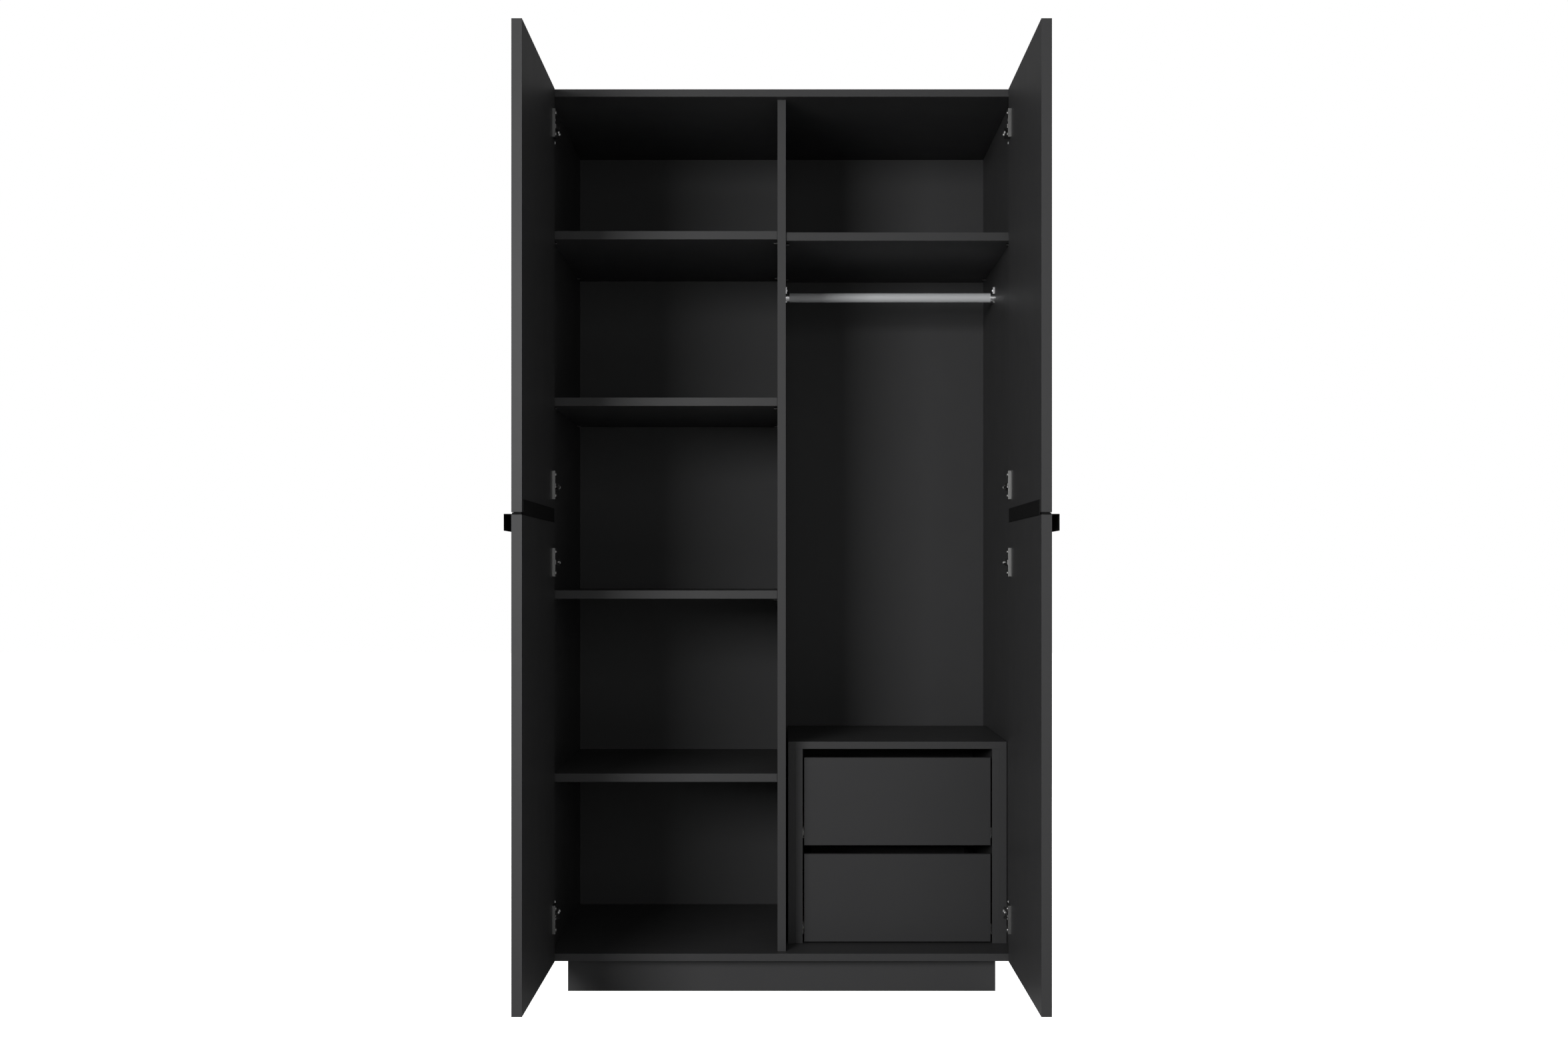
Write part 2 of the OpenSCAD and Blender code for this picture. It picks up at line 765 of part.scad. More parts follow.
module drawer_sides(z) {
    color(graphite_face) difference() {
        for (m = [0, 1]) translate([insert_mid, box_y, plinth_h + z + box_lift + runner_t])
            mirror([m, 0, 0]) translate([-box_w / 2, 0, 0]) cube([drawer_board_t, drawer_d, drawer_side_h]);
        drawer_bottom_shape(z, groove_fit);
    }
}

module drawer_back(z) {
    back_z = bottom_up + drawer_bottom_t + groove_fit;
    color(graphite_face)
        board([insert_mid - box_w / 2 + drawer_board_t, box_y + drawer_d - drawer_board_t,
            plinth_h + z + box_lift + runner_t + back_z],
            [box_w - 2 * drawer_board_t, drawer_board_t, drawer_side_h - back_z]);
}

module drawer_bottom(z) {
    color(graphite) drawer_bottom_shape(z, 0);
}

module drawer_front_upper() { drawer_front(upper_front_z); }
module drawer_sides_upper() { drawer_sides(upper_front_z); }
module drawer_back_upper() { drawer_back(upper_front_z); }
module drawer_bottom_upper() { drawer_bottom(upper_front_z); }
module drawer_front_lower() { drawer_front(lower_front_z); }
module drawer_sides_lower() { drawer_sides(lower_front_z); }
module drawer_back_lower() { drawer_back(lower_front_z); }
module drawer_bottom_lower() { drawer_bottom(lower_front_z); }

// ---- output ----

top_panel();
bottom_panel();
side_panel(-1);  // left_side_panel
side_panel(1);  // right_side_panel
centre_partition();
back_panel();
carcass_dowels();
shelf(0);  // left_shelf_1
shelf(1);  // left_shelf_2
shelf(2);  // left_shelf_3
shelf(3);  // left_shelf_4
shelf(4);  // right_shelf
shelf_pins();
hanging_rail();
rail_brackets();
plinth_front();
plinth_back();
plinth_side_rails();
plinth_cross_rail();
hinge_plates();
hinge_arms();
hinge_screws();
main_links_lower_left();
main_links_upper_left();
main_links_lower_right();
main_links_upper_right();
short_links_lower_left();
short_links_upper_left();
short_links_lower_right();
short_links_upper_right();
door_lower_left();
door_upper_left();
door_lower_right();
door_upper_right();
hinge_cups_lower_left();
hinge_cups_upper_left();
hinge_cups_lower_right();
hinge_cups_upper_right();
handle_strip_left();
handle_strip_right();
insert_top();
insert_left_side();
insert_right_side();
insert_fillers();
insert_back_rails();
fixed_runners();
front_rollers_upper();
front_rollers_lower();
drawer_front_upper();
drawer_sides_upper();
drawer_back_upper();
drawer_bottom_upper();
drawer_runners_upper();
rear_rollers_upper();
drawer_front_lower();
drawer_sides_lower();
drawer_back_lower();
drawer_bottom_lower();
drawer_runners_lower();
rear_rollers_lower();
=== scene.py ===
"""Finishes, fittings and studio for a graphite wardrobe whose doors stand open.

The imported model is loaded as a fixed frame. Each sub-assembly is a class that dresses its own boards and
fittings, and builds the small pieces that the frame leaves plain.
"""

from __future__ import annotations

import logging
import math
from dataclasses import dataclass
from enum import Enum, IntEnum
from typing import Iterable, Sequence

import bmesh
import bpy
from mathutils import Matrix, Vector

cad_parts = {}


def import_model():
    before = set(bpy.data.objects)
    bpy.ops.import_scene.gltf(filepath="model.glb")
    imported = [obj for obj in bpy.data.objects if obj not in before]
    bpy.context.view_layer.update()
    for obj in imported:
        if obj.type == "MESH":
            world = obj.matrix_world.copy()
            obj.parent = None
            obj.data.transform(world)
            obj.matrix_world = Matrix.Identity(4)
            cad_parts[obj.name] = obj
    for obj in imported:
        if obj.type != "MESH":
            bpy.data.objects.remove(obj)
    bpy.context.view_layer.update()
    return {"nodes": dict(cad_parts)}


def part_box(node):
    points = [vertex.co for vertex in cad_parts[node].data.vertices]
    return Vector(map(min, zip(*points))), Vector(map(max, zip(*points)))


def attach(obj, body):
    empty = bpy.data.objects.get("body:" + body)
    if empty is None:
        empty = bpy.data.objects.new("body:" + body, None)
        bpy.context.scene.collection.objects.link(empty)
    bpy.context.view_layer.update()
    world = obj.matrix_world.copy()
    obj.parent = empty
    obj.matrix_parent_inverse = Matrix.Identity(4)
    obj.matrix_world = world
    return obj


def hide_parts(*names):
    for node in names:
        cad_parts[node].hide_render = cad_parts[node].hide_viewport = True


LOG = logging.getLogger("wardrobe")

Colour = tuple[float, float, float]
Place = tuple[float, float, float]
Socket = bpy.types.NodeSocket


class Slot(Enum):
    """Material slot names that the new pieces are tagged with."""

    NICKEL = "nickel_steel"
    RUNNER = "runner_steel"
    CHROME = "chrome_rail"
    STRIP = "black_strip"


class Side(Enum):
    """The two sides of the wardrobe, seen from the front."""

    LEFT = "left"
    RIGHT = "right"


class Row(Enum):
    """The two rows of doors and of drawers."""

    LOWER = "lower"
    UPPER = "upper"


class Axis(IntEnum):
    """Axis numbers: X to the right, Y to the rear, Z up."""

    X = 0
    Y = 1
    Z = 2


class Edge(Enum):
    """Ends of a board that carry an edge band: axis and end, 0 for the low end."""

    FRONT = (Axis.Y, 0)
    BACK = (Axis.Y, 1)
    BOTTOM = (Axis.Z, 0)
    TOP = (Axis.Z, 1)
    LEFT = (Axis.X, 0)
    RIGHT = (Axis.X, 1)


# ---- shaders ----


@dataclass(frozen=True)
class Pattern:
    """Size of a noise pattern: cells in a metre, octaves, and the share of the finer octaves."""

    scale: float
    detail: float = 2.0
    fineness: float = 0.5


class Sheet:
    """Lays out the nodes of one material around a Principled shader."""

    # Places of the colour sockets on a Mix node, which has a set of sockets for every kind of value
    MIX_COLOURS = (6, 7)
    MIX_RESULT = 2
    EASE_SAMPLES = 4

    def __init__(self, name: str) -> None:
        """Start an empty material.

        Args:
            name: Name of the new material.
        """
        self.material = bpy.data.materials.new(name)
        self.material.use_nodes = True
        tree = self.material.node_tree
        tree.nodes.clear()
        self.nodes = tree.nodes
        self.links = tree.links
        output = self.nodes.new("ShaderNodeOutputMaterial")
        self.shader = self.nodes.new("ShaderNodeBsdfPrincipled")
        self.links.new(self.shader.outputs["BSDF"], output.inputs["Surface"])
        self.coordinates = self.nodes.new("ShaderNodeTexCoord").outputs["Object"]

    def set(self, **values: float) -> None:
        """Set sockets of the shader by their names, with underscores for spaces."""
        for name, value in values.items():
            self.shader.inputs[name.replace("_", " ")].default_value = value

    def feed(self, name: str, source: Socket) -> None:
        """Link an output to a named socket of the shader."""
        self.links.new(source, self.shader.inputs[name])

    def stretched(self, scale: Sequence[float]) -> Socket:
        """Object coordinates stretched along the axes.

        Args:
            scale: Factor along each axis.

        Returns:
            The stretched vector.
        """
        node = self.nodes.new("ShaderNodeMapping")
        node.inputs["Scale"].default_value = scale
        self.links.new(self.coordinates, node.inputs["Vector"])
        return node.outputs["Vector"]

    def noise(self, pattern: Pattern, vector: Socket | None = None, distortion: float = 0.0) -> Socket:
        """A noise pattern.

        Args:
            pattern: Its size.
            vector: Coordinates, plain object ones if left out.
            distortion: How far the pattern is pulled about.

        Returns:
            Values about 0.5.
        """
        node = self.nodes.new("ShaderNodeTexNoise")
        node.inputs["Scale"].default_value = pattern.scale
        node.inputs["Detail"].default_value = pattern.detail
        node.inputs["Roughness"].default_value = pattern.fineness
        node.inputs["Distortion"].default_value = distortion
        self.links.new(vector or self.coordinates, node.inputs["Vector"])
        return node.outputs["Fac"]

    def cells(self, scale: float) -> Socket:
        """Distance pattern of scattered cells.

        Args:
            scale: Cells in a metre.

        Returns:
            Distance to the nearest point of a cell.
        """
        node = self.nodes.new("ShaderNodeTexVoronoi")
        node.inputs["Scale"].default_value = scale
        self.links.new(self.coordinates, node.inputs["Vector"])
        return node.outputs["Distance"]

    def spread(self, source: Socket, low: float, high: float, start: float = 0.3,
               end: float = 0.7) -> Socket:
        """Map a pattern to a range.

        Args:
            source: Pattern.
            low: Result at start.
            high: Result at end.
            start: Lowest pattern value used.
            end: Highest pattern value used.

        Returns:
            The mapped value.
        """
        node = self.nodes.new("ShaderNodeMapRange")
        for name, value in (("From Min", start), ("From Max", end), ("To Min", low), ("To Max", high)):
            node.inputs[name].default_value = value
        self.links.new(source, node.inputs["Value"])
        return node.outputs["Result"]

    def math(self, kind: str, first: Socket, second: Socket | float = 0.0) -> Socket:
        """One step of arithmetic.

        Args:
            kind: Operation name.
            first: First value.
            second: Second value or a number, where the operation has one.

        Returns:
            The result.
        """
        node = self.nodes.new("ShaderNodeMath")
        node.operation = kind
        self.links.new(first, node.inputs[0])
        if isinstance(second, float):
            node.inputs[1].default_value = second
        else:
            self.links.new(second, node.inputs[1])
        return node.outputs["Value"]

    def along(self, axis: Axis) -> Socket:
        """One object coordinate.

        Args:
            axis: Which one.

        Returns:
            That coordinate in metres.
        """
        node = self.nodes.new("ShaderNodeSeparateXYZ")
        self.links.new(self.coordinates, node.inputs["Vector"])
        return node.outputs[axis]

    def tint(self, share: Socket, first: Socket | Colour, second: Socket | Colour) -> Socket:
        """Mix two colours.

        Args:
            share: How much of the second colour shows.
            first: First colour.
            second: Second colour.

        Returns:
            The mixed colour.
        """
        node = self.nodes.new("ShaderNodeMix")
        node.data_type = "RGBA"
        self.links.new(share, node.inputs["Factor"])
        for number, colour in zip(self.MIX_COLOURS, (first, second)):
            if isinstance(colour, tuple):
                node.inputs[number].default_value = (*colour, 1.0)
            else:
                self.links.new(colour, node.inputs[number])
        return node.outputs[self.MIX_RESULT]

    def eased(self, radius: float) -> Socket:
        """Normals that round every sharp edge a little.

        Args:
            radius: Radius of the rounding in metres.

        Returns:
            The rounded normal.
        """
        node = self.nodes.new("ShaderNodeBevel")
        node.samples = self.EASE_SAMPLES
        node.inputs["Radius"].default_value = radius
        return node.outputs["Normal"]

    def relief(self, height: Socket, distance: float, normal: Socket | None = None) -> Socket:
        """Bump from a height pattern.

        Args:
            height: Height from 0 to 1.
            distance: Depth in metres that a height of 1 stands for.
            normal: Normal to start from.

        Returns:
            The bumped normal.
        """
        node = self.nodes.new("ShaderNodeBump")
        node.inputs["Distance"].default_value = distance
        node.inputs["Strength"].default_value = 1.0
        self.links.new(height, node.inputs["Height"])
        if normal is not None:
            self.links.new(normal, node.inputs["Normal"])
        return node.outputs["Normal"]


def shade(colour: Colour, factor: float) -> Colour:
    """A linear colour made lighter or darker by a factor on every channel."""
    return (colour[0] * factor, colour[1] * factor, colour[2] * factor)


@dataclass(frozen=True)
class Melamine:
    """Uni graphite melamine with a fine pressed texture and thin joint lines beside its edge bands."""

    colour: Colour = (0.045, 0.045, 0.046)
    cloud: Pattern = Pattern(3.0, 4.0, 0.6)
    mottle: float = 0.025
    speck: Pattern = Pattern(1400.0, 1.0)
    speck_share: float = 0.4
    speck_shade: float = 0.94
    band: float = 0.001
    band_shade: float = 0.87
    joint: float = 0.00016
    joint_shade: float = 0.45
    gloss: Pattern = Pattern(7.0, 5.0, 0.65)
    roughness: float = 0.44
    roughness_change: float = 0.015
    specular: float = 0.165
    pores: Pattern = Pattern(950.0, 3.0, 0.6)
    press: float = 0.00001
    ease: float = 0.0006

    def make(self, name: str, bands: Iterable[tuple[Axis, float, bool]]) -> bpy.types.Material:
        """Build the finish.

        Args:
            name: Name of the material.
            bands: Axis and coordinate of each joint line, and whether its band lies on the low side.

        Returns:
            The material.
        """
        sheet = Sheet(name)
        cloud = sheet.spread(sheet.noise(self.cloud), 0.0, 1.0)
        colour = sheet.tint(cloud, shade(self.colour, 1 - self.mottle), shade(self.colour, 1 + self.mottle))
        speck = sheet.spread(sheet.noise(self.speck), 0.0, self.speck_share)
        colour = sheet.tint(speck, colour, shade(self.colour, self.speck_shade))
        for axis, place, low_side in bands:
            along = sheet.along(axis)
            beyond = sheet.math("LESS_THAN" if low_side else "GREATER_THAN", along, place)
            colour = sheet.tint(beyond, colour, shade(self.colour, self.band_shade))
            away = sheet.math("ABSOLUTE", sheet.math("SUBTRACT", along, place))
            on_line = sheet.math("LESS_THAN", away, self.joint)
            colour = sheet.tint(on_line, colour, shade(self.colour, self.joint_shade))
        sheet.feed("Base Color", colour)
        smooth = self.roughness - self.roughness_change
        rough = self.roughness + self.roughness_change
        sheet.feed("Roughness", sheet.spread(sheet.noise(self.gloss), smooth, rough))
        sheet.set(Specular_IOR_Level=self.specular)
        pores = sheet.noise(self.pores)
        sheet.feed("Normal", sheet.relief(pores, self.press, sheet.eased(self.ease)))
        return sheet.material


@dataclass(frozen=True)
class BackBoard:
    """Thin hardboard: graphite print on the inside, bare pressed fibre with a screen mark on the rear."""

    inside: Colour = (0.0405, 0.0405, 0.0415)
    rear: Colour = (0.25, 0.155, 0.085)
    cloud: Pattern = Pattern(4.0, 4.0, 0.6)
    cloud_shades: tuple[float, float] = (0.96, 1.04)
    fibres: Pattern = Pattern(220.0, 5.0, 0.7)
    fibre_stretch: Place = (1.0, 1.0, 2.5)
    fibre_shades: tuple[float, float] = (0.72, 1.25)
    roughness: tuple[float, float] = (0.5, 0.82)
    specular: float = 0.12
    screen: float = 700.0
    screen_depth: float = 0.00008
    print_relief: float = 0.03

    def make(self, name: str, axis: Axis, middle: float) -> bpy.types.Material:
        """Build the finish.

        Args:
            name: Name of the material.
            axis: Axis across the board.
            middle: Coordinate of the middle of its thickness.

        Returns:
            The material.
        """
        sheet = Sheet(name)
        cloud = sheet.spread(sheet.noise(self.cloud), 0.0, 1.0)
        printed = sheet.tint(cloud, *(shade(self.inside, factor) for factor in self.cloud_shades))
        fibres = sheet.spread(sheet.noise(self.fibres, sheet.stretched(self.fibre_stretch)), 0.0, 1.0)
        bare = sheet.tint(fibres, *(shade(self.rear, factor) for factor in self.fibre_shades))
        behind = sheet.math("GREATER_THAN", sheet.along(axis), middle)
        sheet.feed("Base Color", sheet.tint(behind, printed, bare))
        sheet.feed("Roughness", sheet.spread(behind, *self.roughness, 0.0, 1.0))
        sheet.set(Specular_IOR_Level=self.specular)
        depth = sheet.spread(behind, self.print_relief, 1.0, 0.0, 1.0)
        height = sheet.math("MULTIPLY", sheet.cells(self.screen), depth)
        sheet.feed("Normal", sheet.relief(height, self.screen_depth))
        return sheet.material


@dataclass(frozen=True)
class Metal:
    """Plated or lacquered metal with fine drawing lines along one axis."""

    colour: Colour
    roughness: float
    metallic: float = 1.0
    specular: float = 0.5
    across: Place = (1.0, 1.0, 1.0)
    cloud: Pattern = Pattern(60.0, 4.0, 0.6)
    spots: float = 0.06
    lines: Pattern = Pattern(1600.0)
    line_change: float = 0.2
    grain: float = 0.00001
    ease: float = 0.0003

    def make(self, name: str) -> bpy.types.Material:
        """Build the finish.

        Args:
            name: Name of the material.

        Returns:
            The material.
        """
        sheet = Sheet(name)
        vector = sheet.stretched(self.across)
        cloud = sheet.spread(sheet.noise(self.cloud, vector), 0.0, 1.0)
        colour = sheet.tint(cloud, shade(self.colour, 1 - self.spots), shade(self.colour, 1 + self.spots))
        sheet.feed("Base Color", colour)
        drawn = sheet.noise(self.lines, vector)
        smooth = self.roughness * (1 - self.line_change)
        rough = self.roughness * (1 + self.line_change)
        sheet.feed("Roughness", sheet.spread(drawn, smooth, rough))
        sheet.set(Metallic=self.metallic, Specular_IOR_Level=self.specular)
        sheet.feed("Normal", sheet.relief(drawn, self.grain, sheet.eased(self.ease)))
        return sheet.material


@dataclass(frozen=True)
class Nylon:
    """Moulded nylon with a soft sheen and slight flow marks."""

    colour: Colour = (0.78, 0.78, 0.75)
    flow: Pattern = Pattern(90.0, 3.0)
    flow_pull: float = 1.5
    flow_shade: float = 0.94
    gloss: Pattern = Pattern(400.0)
    roughness: tuple[float, float] = (0.38, 0.5)
    spark: Pattern = Pattern(1200.0)
    spark_depth: float = 0.00001
    ease: float = 0.0003

    def make(self, name: str) -> bpy.types.Material:
        """Build the finish.

        Args:
            name: Name of the material.

        Returns:
            The material.
        """
        sheet = Sheet(name)
        flow = sheet.spread(sheet.noise(self.flow, distortion=self.flow_pull), 0.0, 1.0)
        sheet.feed("Base Color", sheet.tint(flow, shade(self.colour, self.flow_shade), self.colour))
        sheet.feed("Roughness", sheet.spread(sheet.noise(self.gloss), *self.roughness))
        sheet.feed("Normal", sheet.relief(sheet.noise(self.spark), self.spark_depth, sheet.eased(self.ease)))
        return sheet.material


@dataclass(frozen=True)
class Felt:
    """Dense black felt with a short matted nap."""

    colour: Colour = (0.008, 0.008, 0.008)
    nap: Pattern = Pattern(1300.0, 4.0, 0.7)
    nap_pull: float = 0.6
    nap_shades: tuple[float, float] = (0.6, 1.5)
    nap_depth: float = 0.0001
    roughness: tuple[float, float] = (0.85, 0.98)
    specular: float = 0.1

    def make(self, name: str) -> bpy.types.Material:
        """Build the finish.

        Args:
            name: Name of the material.

        Returns:
            The material.
        """
        sheet = Sheet(name)
        nap = sheet.spread(sheet.noise(self.nap, distortion=self.nap_pull), 0.0, 1.0)
        colour = sheet.tint(nap, *(shade(self.colour, factor) for factor in self.nap_shades))
        sheet.feed("Base Color", colour)
        sheet.feed("Roughness", sheet.spread(nap, *self.roughness, 0.0, 1.0))
        sheet.set(Specular_IOR_Level=self.specular)
        sheet.feed("Normal", sheet.relief(nap, self.nap_depth))
        return sheet.material


@dataclass(frozen=True)
class Beech:
    """Plain beech with short dark flecks along the grain."""

    colour: Colour = (0.55, 0.36, 0.20)
    rings: Pattern = Pattern(260.0, 3.0, 0.6)
    ring_stretch: Place = (0.15, 1.0, 1.0)
    ring_shades: tuple[float, float] = (0.85, 1.12)
    ring_depth: float = 0.00005
    fleck: Pattern = Pattern(1500.0)
    fleck_stretch: Place = (0.2, 1.0, 1.0)
    fleck_share: float = 0.6
    fleck_start: float = 0.55
    fleck_shade: float = 0.5
    roughness: tuple[float, float] = (0.55, 0.7)

    def make(self, name: str) -> bpy.types.Material:
        """Build the finish.

        Args:
            name: Name of the material.

        Returns:
            The material.
        """
        sheet = Sheet(name)
        rings = sheet.spread(sheet.noise(self.rings, sheet.stretched(self.ring_stretch)), 0.0, 1.0)
        colour = sheet.tint(rings, *(shade(self.colour, factor) for factor in self.ring_shades))
        fleck = sheet.noise(self.fleck, sheet.stretched(self.fleck_stretch))
        fleck = sheet.spread(fleck, 0.0, self.fleck_share, self.fleck_start)
        sheet.feed("Base Color", sheet.tint(fleck, colour, shade(self.colour, self.fleck_shade)))
        sheet.feed("Roughness", sheet.spread(rings, *self.roughness, 0.0, 1.0))
        sheet.feed("Normal", sheet.relief(rings, self.ring_depth))
        return sheet.material


# ---- piece making ----

# Distance in metres within which corners are joined
WELD = 0.000002
# Least angles in degrees between faces: for an edge to stay, to be rounded, and to be shaded as a crease
EDGE_STAYS = 1.0
EDGE_SHARP = 40.0
CREASE = 20.0
# Area in square metres from which a face is shaded flat
FLAT_AREA = 0.000025
# Decimals of a metre by which solids are put in order
ORDER_DECIMALS = 5


def merged(node: bpy.types.Object) -> bmesh.types.BMesh:
    """Copy a node's mesh with its loose triangles joined.

    Args:
        node: Object of the frame.

    Returns:
        The joined copy.
    """
    work = bmesh.new()
    work.from_mesh(node.data)
    bmesh.ops.remove_doubles(work, verts=work.verts, dist=WELD)
    return work


@dataclass(frozen=True)
class Solid:
    """Box round one loose solid of a node."""

    low: Vector
    high: Vector

    @property
    def middle(self) -> Vector:
        """Middle of the box."""
        return (self.low + self.high) / 2


def solids(node: bpy.types.Object) -> list[Solid]:
    """Find the separate solids of a node.

    Args:
        node: Object of the frame.

    Returns:
        Their boxes, in order of place.
    """
    work = merged(node)
    waiting = set(work.verts)
    found = []
    for start in work.verts:
        if start not in waiting:
            continue
        waiting.discard(start)
        group = [start]
        for vertex in group:
            for edge in vertex.link_edges:
                other = edge.other_vert(vertex)
                if other in waiting:
                    waiting.discard(other)
                    group.append(other)
        low = Vector([min(vertex.co[axis] for vertex in group) for axis in Axis])
        high = Vector([max(vertex.co[axis] for vertex in group) for axis in Axis])
        found.append(Solid(low, high))
    work.free()
    return sorted(found, key=lambda solid: tuple(round(value, ORDER_DECIMALS) for value in solid.low))


def ease(work: bmesh.types.BMesh, edges: Sequence[bmesh.types.BMEdge], width: float) -> None:
    """Round some edges of a shape to a width, in two steps."""
    bmesh.ops.bevel(work, geom=edges, offset=width, offset_type="OFFSET", affect="EDGES", segments=2,
                    profile=0.5, clamp_overlap=True, material=-1)


def softened(node: bpy.types.Object, width: float) -> bmesh.types.BMesh:
    """Copy a node's mesh with its sharp edges rounded.

    Args:
        node: Object of the frame.
        width: Width of the rounding in metres.

    Returns:
        The rounded copy.
    """
    work = merged(node)
    stays = math.radians(EDGE_STAYS)
    bmesh.ops.dissolve_limit(work, angle_limit=stays, verts=work.verts, edges=work.edges)
    sharp = math.radians(EDGE_SHARP)
    ease(work, [edge for edge in work.edges if edge.is_manifold and edge.calc_face_angle() > sharp], width)
    return work


def as_mesh(name: str, work: bmesh.types.BMesh) -> bpy.types.Mesh:
    """Store a bmesh.

    Args:
        name: Name of the mesh.
        work: The bmesh, which is freed.

    Returns:
        The stored mesh.
    """
    bmesh.ops.recalc_face_normals(work, faces=work.faces)
    mesh = bpy.data.meshes.new(name)
    work.to_mesh(mesh)
    work.free()
    mesh.shade_smooth()
    mesh.set_sharp_from_angle(angle=math.radians(CREASE))
    for polygon in mesh.polygons:
        polygon.use_smooth = polygon.area < FLAT_AREA
    return mesh


class ScrewHead:
    """A domed screw head with a cross recess, one unit in radius and in height, standing along Z."""

    # Grid lines of its top, the middle ones those of the cross
    LINES = (-1.0, -0.62, -0.14, 0.14, 0.62, 1.0)
    RIM_HEIGHT = 0.45
    RECESS_DEPTH = 0.7
    RECESS_TAPER = 0.8

    def __init__(self) -> None:
        """Model the head once, to be placed many times."""
        work = bmesh.new()
        cells = len(self.LINES) - 1
        bmesh.ops.create_grid(work, x_segments=cells, y_segments=cells, size=1.0)
        half = max(vertex.co.x for vertex in work.verts)
        for vertex in work.verts:
            column, line = (round((value / half + 1) * cells / 2) for value in vertex.co.xy)
            if {column, line} & {0, cells}:
                vertex.co = (*vertex.co.xy.normalized(), self.RIM_HEIGHT)
            else:
                vertex.co = (self.LINES[column], self.LINES[line], 1.0)
        rim = [edge for edge in work.edges if edge.is_boundary]
        cross = [face for face in work.faces if self.in_cross(face)]
        pocket = bmesh.ops.extrude_face_region(work, geom=cross)["geom"]
        bmesh.ops.delete(work, geom=cross, context="FACES")
        floor = [item for item in pocket if isinstance(item, bmesh.types.BMVert)]
        bmesh.ops.scale(work, vec=(self.RECESS_TAPER, self.RECESS_TAPER, 1.0), verts=floor)
        bmesh.ops.translate(work, vec=(0.0, 0.0, -self.RECESS_DEPTH), verts=floor)
        skirt = bmesh.ops.extrude_edge_only(work, edges=rim)["geom"]
        foot = [item for item in skirt if isinstance(item, bmesh.types.BMVert)]
        bmesh.ops.translate(work, vec=(0.0, 0.0, -self.RIM_HEIGHT), verts=foot)
        seat = [edge for edge in work.edges if edge.is_boundary]
        bmesh.ops.holes_fill(work, edges=seat, sides=0)
        self.mesh = as_mesh("screw_head", work)

    def in_cross(self, face: bmesh.types.BMFace) -> bool:
        """Whether a face of the top lies in one of the two bars of the cross."""
        inner, outer = sorted(abs(value) for value in face.calc_center_median().xy)
        return inner < self.LINES[-3] and outer < self.LINES[-2]


class NailHead:
    """A round flat head with a rounded rim, one unit in radius and in height, standing along Z."""

    SIDES = 16
    RIM = 0.35

    def __init__(self) -> None:
        """Model the head once, to be placed many times."""
        work = bmesh.new()
        bmesh.ops.create_cone(work, cap_ends=True, segments=self.SIDES, radius1=1.0, radius2=1.0, depth=1.0)
        rim = [edge for edge in work.edges if all(vertex.co.z > 0.0 for vertex in edge.verts)]
        bmesh.ops.translate(work, vec=(0.0, 0.0, 0.5), verts=work.verts)
        ease(work, rim, self.RIM)
        self.mesh = as_mesh("nail_head", work)


def spaced(start: float, end: float, step: float) -> list[float]:
    """Places spread evenly from a start to an end, both among them, and no more than a step apart."""
    count = math.ceil((end - start) / step)
    return [start + (end - start) * number / count for number in range(count + 1)]


class Fitting:
    """A new piece in the making: copies of small shapes, one finish, and the body that carries them."""

    def __init__(self, name: str, body: str, slot: Slot, material: bpy.types.Material) -> None:
        """Start an empty piece.

        Args:
            name: Name of the piece.
            body: Body that carries it.
            slot: Material slot name, kept with the piece.
            material: Finish.
        """
        self.name = name
        self.body = body
        self.slot = slot
        self.material = material
        self.work = bmesh.new()

    def add(self, mesh: bpy.types.Mesh, seat: Vector, outward: Vector, radius: float, height: float) -> None:
        """Add a copy of a shape that stands along Z.

        Args:
            mesh: Shape to copy.
            seat: Where its foot goes.
            outward: Direction that it stands in.
            radius: Factor across.
            height: Factor along its height.
        """
        start = len(self.work.verts)
        self.work.from_mesh(mesh)
        self.work.verts.ensure_lookup_table()
        place = (Matrix.Translation(seat) @ outward.to_track_quat("Z", "Y").to_matrix().to_4x4()
                 @ Matrix.Diagonal((radius, radius, height, 1.0)))
        bmesh.ops.transform(self.work, matrix=place, verts=self.work.verts[start:])

    def done(self, *replaced: str) -> bpy.types.Object:
        """Make the piece's object.

        Args:
            replaced: Nodes of the frame that it stands for.

        Returns:
            The object.
        """
        piece = bpy.data.objects.new(self.name, as_mesh(self.name, self.work))
        bpy.context.scene.collection.objects.link(piece)
        piece.data.materials.append(self.material)
        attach(piece, self.body)
        if replaced:
            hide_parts(*replaced)
        LOG.info("%s rides on %s", self.name, self.body)
        return piece


# ---- sub-assemblies ----


